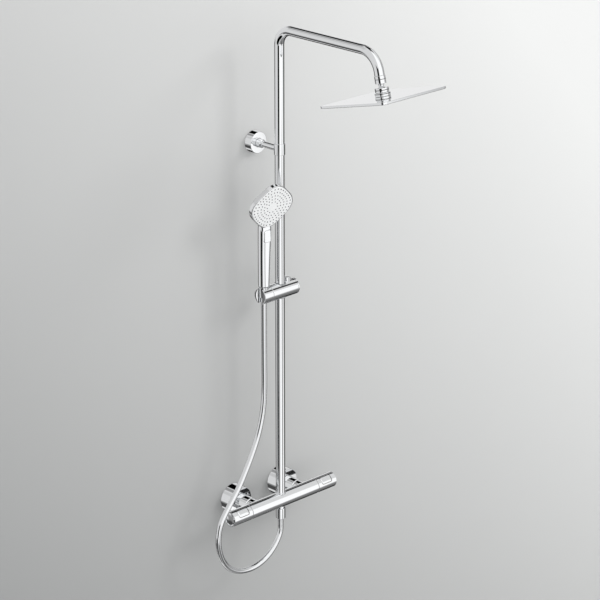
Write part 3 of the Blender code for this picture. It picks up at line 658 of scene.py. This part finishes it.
def arm_path(per_bend=24):
    top = ARM_Z - TOP_BEND_R
    path = [COLUMN + Vector((0, 0, BRACKET_Z + GAP)), COLUMN + Vector((0, 0, top - 1 * MM))]
    centre = COLUMN + Vector((0, -TOP_BEND_R, top))
    for i in range(per_bend + 1):
        angle = math.pi / 2 * i / per_bend
        path.append(centre + TOP_BEND_R * Vector((0, math.cos(angle), math.sin(angle))))
    turn = math.pi / 2 - ARM_END_TILT
    tangent = END_BEND_R * math.tan(turn / 2)
    centre = ARM_CORNER + Vector((0, tangent, -END_BEND_R))
    path.append(centre + Vector((0, 1 * MM, END_BEND_R)))
    for i in range(per_bend + 1):
        angle = turn * i / per_bend
        path.append(centre + END_BEND_R * Vector((0, -math.sin(angle), math.cos(angle))))
    path.append(ARM_CORNER + ARM_AXIS * 48.6 * MM)
    path.append(ARM_CORNER + ARM_AXIS * 49 * MM)
    return path


def make_arm():
    path = arm_path()
    outer = tube_loops(path, RIGHT, TUBE_R, 64)
    inner = tube_loops(path, RIGHT, 9.5 * MM, 64)
    bm = bmesh.new()
    skin(bm, outer + inner[::-1], closed=True)
    arm = weight_normals(make_object("swivel_arm", bm, "chrome", 40))
    place(arm, "arm", "chrome", "shower_arm")


# ---------------------------------------------------------------- overhead shower

def ball_arc(radius, degrees):
    turns = [math.radians(d) for d in degrees]
    return [(BALL_AT + radius * math.sin(t), radius * math.cos(t)) for t in turns]


def make_rain_head():
    nut = turned("arm_end_ring", "chrome", [
        (42 * MM, 6.2 * MM), (42 * MM, 9.1 * MM), (49.3 * MM, 9.1 * MM), (49.3 * MM, 11.9 * MM),
        (66.4 * MM, 11.9 * MM), (66.4 * MM, 6.2 * MM)], ARM_AXIS, ARM_CORNER, 0.7 * MM)
    place(nut, "arm", "chrome", "arm_end_nut")
    neck = [(54.4 * MM, 0), (54.4 * MM, 5.6 * MM), (68 * MM, 5.6 * MM), (68.6 * MM, 6.6 * MM),
            (70 * MM, 6.6 * MM), (70.6 * MM, 5.2 * MM)]
    ball = neck + ball_arc(9 * MM, range(-54, 90, 4)) + [(BALL_AT + 9 * MM, 0)]
    stud = turned("ball_and_neck", "chrome", ball, ARM_AXIS, ARM_CORNER, 0.2 * MM, 64)
    place(stud, "arm", "chrome", "ball_stud")
    collar = ball_arc(9.3 * MM, (-32, -28, -24, -20, -14))
    ring = turned("swivel_ring", "chrome", collar + [
        (collar[-1][0], 13 * MM), (85.3 * MM, 13 * MM), (85.3 * MM, 15 * MM), (75.7 * MM, 15 * MM),
        (74.3 * MM, 13.6 * MM)], ARM_AXIS, ARM_CORNER, 0.6 * MM)
    place(ring, "head_roll_part", "chrome", "swivel_nut")
    for name, body, middle, width, radius in (
            ("arm_end_seam", "arm", 57 * MM, 1.2 * MM, 12 * MM),
            ("swivel_ring_seam", "head_roll_part", 80 * MM, 1.4 * MM, 15.1 * MM),
            ("head_collar_seam", "rain_head", 88 * MM, 1.4 * MM, 17.1 * MM)):
        low, high = middle - width / 2, middle + width / 2
        line = turned(name, "seam", [
            (low, radius - 1 * MM), (low, radius), (high, radius), (high, radius - 1 * MM)],
            ARM_AXIS, ARM_CORNER, 0.05 * MM)
        place(line, body, "grey_plastic")
    boss = turned("head_collar", "chrome", [
        (85.6 * MM, 13.6 * MM), (85.6 * MM, 17 * MM), (93.3 * MM, 17 * MM), (93.3 * MM, 4 * MM),
        (91.3 * MM, 4 * MM), (91.3 * MM, 13.6 * MM)], ARM_AXIS, ARM_CORNER, 0.6 * MM)
    place(boss, "rain_head", "chrome", "head_boss")

    matrix = along(ARM_AXIS, ARM_CORNER)
    top = PLATE_TOP
    plate = slab("rain_head_shell", "chrome", PLATE_SIDE, PLATE_SIDE, PLATE_CORNER_R, top, top + 5.2 * MM,
                 matrix, 0.7 * MM)
    place(plate, "rain_head", "chrome", "head_top_shell")
    side = PLATE_SIDE - 3.8 * MM
    face = slab("rain_head_face", "chrome", side, side, PLATE_CORNER_R - 1.9 * MM, top + 3.6 * MM,
                top + 5.9 * MM, matrix, 0.5 * MM)
    place(face, "rain_head", "rain_face", "spray_plate")
    place(nozzle_field(matrix, top + 5.8 * MM), "rain_head", "rubber", "nozzle_mat")


def nozzle(bm, at, axis_matrix, radius, height, sides=12):
    """A soft spray nipple: a short cone with a rounded tip and a small hole."""
    profile = [(0, radius), (0.6 * height, 0.86 * radius), (height, 0.62 * radius), (height, 0.3 * radius),
               (0.5 * height, 0.25 * radius), (0.5 * height, 0)]
    loops = []
    for loop in turned_loops(profile, sides):
        loops.append([axis_matrix @ (Vector(at) + p) for p in loop])
    skin(bm, loops, capped=False)


def nozzle_field(matrix, level):
    bm = bmesh.new()
    middle = (RAIN_NOZZLES - 1) / 2
    for i in range(RAIN_NOZZLES):
        for j in range(RAIN_NOZZLES):
            x = (i - middle) * RAIN_PITCH
            y = (j - middle) * RAIN_PITCH
            nozzle(bm, (x, y, level), matrix, 1.9 * MM, 1.3 * MM)
    return make_object("rain_nozzles", bm, "nozzle", 50)


# ---------------------------------------------------------------- slider and holder

def barrel_painted_reflection(name, start, end):
    """A thin dark strip along the barrel's upper front: a painted reflection of a dark band of the studio."""
    bm = bmesh.new()
    loops = []
    for x in (start, end):
        loop = []
        for radius, spread in (
                (SLIDER_R + 0.06 * MM, (-BARREL_REFLECTION_HALF, 0, BARREL_REFLECTION_HALF)),
                (SLIDER_R - 0.4 * MM, (BARREL_REFLECTION_HALF, 0, -BARREL_REFLECTION_HALF))):
            for degrees in spread:
                angle = math.radians(BARREL_REFLECTION_AT + degrees)
                loop.append(SLIDER_AT + Vector((x, -radius * math.cos(angle), radius * math.sin(angle))))
        loops.append(loop)
    skin(bm, loops)
    return make_object(name, bm, "seam", 40)


def make_slider():
    body = turned("slider_barrel", "chrome", [
        (-36 * MM, 0), (-36 * MM, SLIDER_R), (41 * MM, SLIDER_R), (41 * MM, 0)],
        RIGHT, SLIDER_AT, 0.6 * MM, 160)
    boolean(body, rod("hole", "chrome", -30 * MM, 30 * MM, 13.4 * MM, UP, SLIDER_AT))
    button_at = SLIDER_AT + Vector((SLIDER_BUTTON_X, 0, 0))
    boolean(body, rod("hole", "chrome", -8 * MM, 30 * MM, 7.5 * MM, UP, button_at))
    place(body, "slider", "chrome", "slider_body")
    cap = turned("slider_end_disc", "chrome", [
        (41.3 * MM, 0), (41.3 * MM, SLIDER_R), (45.4 * MM, SLIDER_R), (45.4 * MM, 0)],
        RIGHT, SLIDER_AT, 0.9 * MM, 160)
    place(cap, "slider", "chrome", "slider_end_cap")
    button = turned("release_button", "chrome", [
        (-2 * MM, 0), (-2 * MM, 7.1 * MM), (27.6 * MM, 7.1 * MM), (28 * MM, 0)], UP, button_at, 0.9 * MM)
    place(button, "slider_release", "chrome", "slider_button")

    holder = turned("holder_end", "chrome", [
        (-62.5 * MM, 0), (-62.5 * MM, SLIDER_R), (-36.3 * MM, SLIDER_R), (-36.3 * MM, 0)],
        RIGHT, SLIDER_AT, 0.7 * MM, 160)
    cone_at = COLUMN + Vector((CONE_X, 0, 0))
    seat = turned("seat", "chrome", [
        (519.2 * MM, 0), (519.2 * MM, 10.0 * MM), (545.5 * MM, 11.3 * MM), (545.5 * MM, 0)],
        UP, cone_at, 0.05 * MM)
    boolean(holder, seat)
    boolean(holder, rod("way", "chrome", 490 * MM, 560 * MM, 7.4 * MM, UP, cone_at))
    slot = slab("slot", "chrome", 30 * MM, 14.8 * MM, 1.5 * MM, 490 * MM, 560 * MM,
                Matrix.Translation(cone_at - Vector((15 * MM, 0, 0))), 0.3 * MM)
    boolean(holder, slot)
    place(holder, "holder", "chrome", "handset_holder")
    cone = turned("hose_cone", "chrome", [
        (519.5 * MM, 5 * MM), (519.5 * MM, 9.5 * MM), (544.5 * MM, 10.9 * MM), (544.5 * MM, 5 * MM)],
        UP, cone_at, 0.5 * MM)
    place(cone, "hose_end", "chrome", "hose_cone_nut")
    # Dark strips painted on the slider and holder barrels: a painted reflection of a dark band.
    for name, rides_on, start, end in (
            ("slider_painted_reflection", "slider", -35 * MM, 44 * MM), ("holder_painted_reflection", "holder", -62 * MM, -37 * MM)):
        place(barrel_painted_reflection(name, start, end), rides_on, "grey_plastic")


# ---------------------------------------------------------------- hand shower

def superellipse(half_flat, power, count=128):
    points = []
    for i in range(count):
        angle = math.tau * i / count
        c, s = math.cos(angle - math.pi / 4), math.sin(angle - math.pi / 4)
        radius = half_flat / (abs(c) ** power + abs(s) ** power) ** (1 / power)
        points.append((radius * math.cos(angle), radius * math.sin(angle)))
    return points


def eased(rows, count):
    """Rows of numbers resampled along a smooth curve through them."""
    ends = [rows[0]] + rows + [rows[-1]]
    result = []
    for p0, p1, p2, p3 in zip(ends, ends[1:], ends[2:], ends[3:]):
        for i in range(count):
            t = i / count
            row = []
            for a, b, c, d in zip(p0, p1, p2, p3):
                row.append(0.5 * (2 * b + (c - a) * t + (2 * a - 5 * b + 4 * c - d) * t * t
                                  + (3 * b - a - 3 * c + d) * t ** 3))
            result.append(tuple(row))
    result.append(rows[-1])
    return result


def head_loops(outline, rings):
    return [[Vector((x * k, y * k, z)) for x, y in outline] for k, z in rings]


def make_handset():
    stand = Matrix.Translation(COLUMN + Vector((CONE_X, 0, 0))) @ Matrix.Rotation(HANDSET_YAW, 4, "Z")
    head = (stand @ Matrix.Translation((0, -FACE_OUT, FACE_Z))
            @ Matrix.Rotation(math.pi / 2 + FACE_TILT, 4, "X"))
    outline = superellipse(FACE_HALF_FLAT, FACE_POWER)

    back = filleted([(-16.2 * MM, 0.0), (-16.2 * MM, 0.62 * FACE_HALF_FLAT), (-13 * MM, 0.93 * FACE_HALF_FLAT),
                     (-9.5 * MM, FACE_HALF_FLAT), (-0.4 * MM, FACE_HALF_FLAT), (0.0, 0.985 * FACE_HALF_FLAT),
                     (0.0, 0.966 * FACE_HALF_FLAT), (-6.5 * MM, 0.965 * FACE_HALF_FLAT), (-6.5 * MM, 0.0)],
                    1.2 * MM, 5, False)
    rings = [(radius / FACE_HALF_FLAT, z) for z, radius in back]
    bm = bmesh.new()
    loops = [[Vector((0, 0, z))] if k == 0 else head_loops(outline, [(k, z)])[0] for k, z in rings]
    skin(bm, loops)
    shell = make_object("hand_shower", bm, "chrome", 35, head)

    sections = [
        (545.2, -10.5, 10.5, 22.5), (547, -11.3, 11.2, 24), (560, -11.5, 11.0, 24.5), (620, -13.0, 9.8, 27),
        (668, -15.0, 8.2, 29), (688, -15.0, 7.4, 29.5), (700, -12.5, 6.4, 29), (715, -14.5, 4.0, 27),
        (732, -19.0, -1.5, 23), (745, -22.0, -8.5, 17)]
    loops = []
    for height, front, rear, width in eased(sections, 6):
        depth = (rear - front) * MM
        corner = min(9 * MM, depth * 0.42)
        middle = (front + rear) / 2 * MM
        ring = rounded_rectangle(width * MM, depth, corner)
        loops.append([Vector((x, y + middle, height * MM)) for x, y in ring])
    bm = bmesh.new()
    skin(bm, loops)
    boolean(shell, make_object("handle", bm, "chrome", 35, stand), "UNION")
    bm = bmesh.new()
    skin(bm, head_loops(outline, [(0.965, -6.5 * MM), (0.965, 6 * MM)]))
    boolean(shell, make_object("recess", bm, "chrome", 35, head))
    pocket = stand @ Matrix.Translation((0, -14 * MM, 669 * MM)) @ Matrix.Rotation(math.pi / 2, 4, "X")
    boolean(shell, slab("pocket", "chrome", 17.6 * MM, 28.6 * MM, 3.3 * MM, -4.5 * MM, 8 * MM, pocket,
                        0.2 * MM))
    weight_normals(shell)
    place(shell, "handset", "chrome_on_plastic", "handset_body")
    button = slab("spray_select_button", "chrome", 17 * MM, 28 * MM, 3 * MM, -2.2 * MM, 1.9 * MM, pocket,
                  0.9 * MM)
    place(button, "select", "chrome", "select_button")

    bm = bmesh.new()
    dome = [(0.955, -6.1 * MM), (0.957, -0.6 * MM), (0.953, 0.15 * MM), (0.944, 0.5 * MM), (0.93, 0.62 * MM),
            (0.6, 0.8 * MM), (0.3, 0.88 * MM)]
    skin(bm, head_loops(outline, dome) + [[Vector((0, 0, 0.9 * MM))]])
    face = weight_normals(make_object("hand_shower_face", bm, "white_plastic", 35, head))
    place(face, "handset", "white_plastic", "spray_face")
    make_face_nozzles(head)


def make_face_nozzles(head):
    """Grey rubber nozzles in rings that follow the face's outline, with a plain disc in the middle."""
    bm = bmesh.new()
    for share, count in NOZZLE_RINGS:
        outline = superellipse(FACE_HALF_FLAT * share, 2 + (FACE_POWER - 2) * share, count)
        for x, y in outline:
            nozzle(bm, (x, y, 0.5 * MM), head, 1.5 * MM, 0.9 * MM, 12)
    place(make_object("hand_shower_nozzles", bm, "nozzle", 50), "handset", "rubber")
    disc = turned("hand_shower_centre", "white_plastic", [
        (0.6 * MM, 0), (0.6 * MM, 9 * MM), (1.05 * MM, 8.7 * MM), (1.15 * MM, 0)],
        (0, 0, 1), (0, 0, 0), 0.2 * MM, 64)
    disc.data.transform(head)
    place(disc, "handset", "white_plastic")


# ---------------------------------------------------------------- springs under the buttons

def make_springs():
    """A steel copy of each CAD spring, hung on the body it rides with; the CAD spring is hidden."""
    face_out = Vector((0, -1, 1)).normalized()
    press = Matrix.Rotation(HANDSET_YAW, 3, "Z") @ OUT
    pocket = COLUMN + Vector((CONE_X, 0, 0)) + press * SPRING_FOOT
    under_button = SLIDER_AT + Vector((SLIDER_BUTTON_X, 0, -7.7 * MM))
    for node, body, joint, axis, foot, keep in (
            ("safety_stop_button_spring", "temperature_handle", "safety_stop_press", face_out,
             COLUMN + Vector((BAR_LEFT + WINDOW_FROM_END, 0, 0)) + face_out * SPRING_FOOT, 0.1),
            ("eco_button_spring", "flow_handle", "eco_press", face_out,
             COLUMN + Vector((BAR_RIGHT - WINDOW_FROM_END, 0, 0)) + face_out * SPRING_FOOT, 0.1),
            ("slider_button_spring", "slider", "slider_release_press", UP, under_button, 0.4),
            ("select_button_spring", "handset", "select_press", press, pocket, 0.25)):
        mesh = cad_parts[node].data.copy()
        mesh.materials.clear()
        mesh.materials.append(MATERIALS["steel"])
        coil = bpy.data.objects.new(node.replace("button_spring", "coil"), mesh)
        bpy.context.scene.collection.objects.link(coil)
        place(coil, body, "steel", node)
        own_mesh(coil)


# ---------------------------------------------------------------- parts kept from the CAD

def finish_cad_nodes():
    """Procedural finishes on the nodes still shown from the CAD: the insides and the seals."""
    finishes = {
        "brass": ("eccentric_union_left", "eccentric_union_right", "thermostat_cartridge", "flow_cartridge",
                  "temperature_spindle", "flow_spindle", "coupling_sleeve", "inlet_tail_left",
                  "inlet_tail_right"),
        "steel": ("bracket_base", "bracket_screw_left", "bracket_screw_right", "stem_grub_screw",
                  "holder_pivot"),
        "rubber": ("union_washer_left", "union_washer_right", "coupling_seal", "hose_washer"),
        "grey_plastic": ("check_valve_left", "check_valve_right", "brake_sleeve"),
        "white_plastic": ("ball_seat",),
        "chrome": ("outlet_nipple",)}
    for finish, names in finishes.items():
        for name in names:
            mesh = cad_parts[name].data
            for i in range(len(mesh.materials)):
                mesh.materials[i] = MATERIALS[finish]


# ---------------------------------------------------------------- room and light

def gate(tree, value, low, high, soft):
    """1 where the value lies between low and high, with soft sides."""
    up = add_node(tree, "ShaderNodeMapRange", {"From Min": low - soft, "From Max": low + soft},
                  interpolation_type="SMOOTHSTEP")
    down = add_node(tree, "ShaderNodeMapRange", {
        "From Min": high - soft, "From Max": high + soft, "To Min": 1.0, "To Max": 0.0},
        interpolation_type="SMOOTHSTEP")
    for node in (up, down):
        tree.links.new(value, node.inputs["Value"])
    return times(tree, up.outputs["Result"], down.outputs["Result"])


def paint(tree, base, mask, level):
    """The base tone, with the level given wherever the mask is 1."""
    mix = add_node(tree, "ShaderNodeMix", data_type="FLOAT")
    tree.links.new(mask, mix.inputs["Factor"])
    tree.links.new(base, mix.inputs["A"])
    mix.inputs["B"].default_value = level
    return mix.outputs["Result"]


def times(tree, a, b):
    node = add_node(tree, "ShaderNodeMath", operation="MULTIPLY")
    tree.links.new(a, node.inputs[0])
    tree.links.new(b, node.inputs[1])
    return node.outputs["Value"]


# The studio that polished surfaces see, as patches over a plain tone.  Bearings run from straight
# out of the wall (0) towards the right (90); angles are in degrees and tones are as displayed.
DISPLAY_GAMMA = 2.2
MATT_LIGHT = 1.15
STUDIO_BACK = 0.88
STUDIO = (  # bearing, half width, lowest, highest, softness, tone
    (2, 43, -27, 95, 2, 1.06),
    (88, 43, -95, 25, 3, 0.70),
    (20, 68, -95, -28, 4, 0.56),
    (-137, 12, 25, 62, 4, 0.80),
    (-172, 16, -32, -10, 3, 0.45),
    (-134, 7, -32, -19, 2, 0.55),
    (-148, 16, -46, -26, 2, 0.30),
    (75, 18, -60, -9, 3, 0.45),
    (130, 42, -60, -9, 3, 0.20),
    (137, 16, -7, 4, 2, 0.94),
    (-92, 27, -70, -18, 2, 0.02),
    (-66, 18, -18, 12, 2, 0.02),
    (9, 9, -60, -17, 2, 0.25),
    (139, 10, 23, 36, 2, 0.03),
    (126, 18, 38, 63, 2, 0.03),
    (157, 16, 30, 53, 3, 0.03),
    (-168, 12, 40, 60, 4, 0.60),
    (120, 50, 61, 95, 3, 0.05),
)


def make_world():
    """Soft even light on matt surfaces; polished ones see a painted studio."""
    world = bpy.data.worlds.new("studio")
    world.use_nodes = True
    bpy.context.scene.world = world
    tree = world.node_tree
    background = tree.nodes["Background"]
    where = add_node(tree, "ShaderNodeTexCoord")
    axes = add_node(tree, "ShaderNodeSeparateXYZ")
    tree.links.new(where.outputs["Generated"], axes.inputs["Vector"])
    rise = add_node(tree, "ShaderNodeMath", operation="ARCSINE")
    tree.links.new(axes.outputs["Z"], rise.inputs[0])
    elevation = add_node(tree, "ShaderNodeMath", operation="DEGREES")
    tree.links.new(rise.outputs["Value"], elevation.inputs[0])
    level = add_node(tree, "ShaderNodeValue").outputs["Value"]
    level.default_value = STUDIO_BACK ** DISPLAY_GAMMA
    for centre, half, low, high, soft, tone in STUDIO:
        # Turn the bearing so that the patch's middle is zero, which keeps the seam behind it.
        turned_axes = add_node(tree, "ShaderNodeVectorRotate", {"Angle": math.radians(-centre)},
                               rotation_type="Z_AXIS")
        tree.links.new(where.outputs["Generated"], turned_axes.inputs["Vector"])
        parts = add_node(tree, "ShaderNodeSeparateXYZ")
        tree.links.new(turned_axes.outputs["Vector"], parts.inputs["Vector"])
        back = add_node(tree, "ShaderNodeMath", operation="MULTIPLY")
        back.inputs[1].default_value = -1.0
        tree.links.new(parts.outputs["Y"], back.inputs[0])
        bearing = add_node(tree, "ShaderNodeMath", operation="ARCTAN2")
        tree.links.new(parts.outputs["X"], bearing.inputs[0])
        tree.links.new(back.outputs["Value"], bearing.inputs[1])
        degrees = add_node(tree, "ShaderNodeMath", operation="DEGREES")
        tree.links.new(bearing.outputs["Value"], degrees.inputs[0])
        side = gate(tree, degrees.outputs["Value"], -half, half, soft)
        height = gate(tree, elevation.outputs["Value"], low, high, soft)
        level = paint(tree, level, times(tree, side, height), tone ** DISPLAY_GAMMA)
    seen = add_node(tree, "ShaderNodeLightPath")
    matt = add_node(tree, "ShaderNodeMix", data_type="FLOAT")
    matt.inputs["A"].default_value = MATT_LIGHT
    tree.links.new(seen.outputs["Is Glossy Ray"], matt.inputs["Factor"])
    tree.links.new(level, matt.inputs["B"])
    tree.links.new(matt.outputs["Result"], background.inputs["Color"])


def make_room():
    """Pale wall and floor, outside the object, that polished surfaces don't see; their colour carries painted
    light.
    """
    mat, shader, tree = new_material("pale_wall_with_painted_light")
    shader.inputs["Roughness"].default_value = 0.9
    shader.inputs["Specular IOR Level"].default_value = 0.1
    where = add_node(tree, "ShaderNodeTexCoord")
    grain = add_node(tree, "ShaderNodeTexNoise", {"Scale": 3.0, "Detail": 4.0})
    tone = add_node(tree, "ShaderNodeMix", data_type="RGBA")
    tone.inputs["A"].default_value = (0.36, 0.365, 0.365, 1)
    tone.inputs["B"].default_value = (0.76, 0.765, 0.76, 1)
    # Painted light: the colour is lighter towards the upper right, where the light comes from, with a faint
    # random unevenness of tone.
    painted_light_slope = add_node(tree, "ShaderNodeVectorMath", operation="DOT_PRODUCT")
    painted_light_slope.inputs[1].default_value = (0.36, -0.2, 0.34)
    wander = add_node(tree, "ShaderNodeMath", {2: 0.33}, operation="MULTIPLY_ADD")
    wander.inputs[1].default_value = 0.02
    sum_up = add_node(tree, "ShaderNodeMath", operation="ADD")
    tree.links.new(where.outputs["Object"], grain.inputs["Vector"])
    tree.links.new(where.outputs["Object"], painted_light_slope.inputs[0])
    tree.links.new(grain.outputs["Fac"], wander.inputs[0])
    tree.links.new(painted_light_slope.outputs["Value"], sum_up.inputs[0])
    tree.links.new(wander.outputs["Value"], sum_up.inputs[1])
    tree.links.new(sum_up.outputs["Value"], tone.inputs["Factor"])
    tree.links.new(tone.outputs["Result"], shader.inputs["Base Color"])
    # The wall is clear from behind, so that the back can be looked at.
    clear = add_node(tree, "ShaderNodeBsdfTransparent")
    sided = add_node(tree, "ShaderNodeMixShader")
    facing = add_node(tree, "ShaderNodeNewGeometry")
    tree.links.new(facing.outputs["Backfacing"], sided.inputs["Fac"])
    tree.links.new(shader.outputs["BSDF"], sided.inputs[1])
    tree.links.new(clear.outputs["BSDF"], sided.inputs[2])
    tree.links.new(sided.outputs["Shader"], tree.nodes["Material Output"].inputs["Surface"])
    foot = [(-ROOM_SIDE, WALL_Y, FLOOR_Z), (ROOM_SIDE, WALL_Y, FLOOR_Z)]
    head = [(ROOM_SIDE, WALL_Y, ROOM_SIDE), (-ROOM_SIDE, WALL_Y, ROOM_SIDE)]
    front = [(-ROOM_SIDE, -ROOM_DEPTH, FLOOR_Z), (ROOM_SIDE, -ROOM_DEPTH, FLOOR_Z)]
    corners = {"room_wall": foot + head, "room_floor": front + foot[::-1]}
    for name, points in corners.items():
        mesh = bpy.data.meshes.new(name)
        mesh.from_pydata(points, [], [(0, 1, 2, 3)])
        mesh.materials.append(mat)
        obj = bpy.data.objects.new(name, mesh)
        bpy.context.scene.collection.objects.link(obj)
        obj.visible_glossy = False


def area_light(name, at, towards, size, power):
    data = bpy.data.lights.new(name, "AREA")
    data.shape = "DISK"
    data.size = size
    data.energy = power
    light = bpy.data.objects.new(name, data)
    light.location = at
    light.rotation_mode = "QUATERNION"
    light.rotation_quaternion = (Vector(towards) - Vector(at)).to_track_quat("-Z", "Y")
    light.visible_glossy = False
    bpy.context.scene.collection.objects.link(light)


def make_lights():
    area_light("key", (2.6, -3.2, 2.9), (0, -0.1, 0.4), 1.6, 40)


bpy.context.scene.view_settings.view_transform = "Standard"
make_camera()
make_materials()
make_hose()
make_unions()
make_mixer()
make_handles()
make_bracket()
make_riser()
make_arm()
make_rain_head()
make_slider()
make_handset()
make_springs()
finish_cad_nodes()
make_world()
make_room()
make_lights()
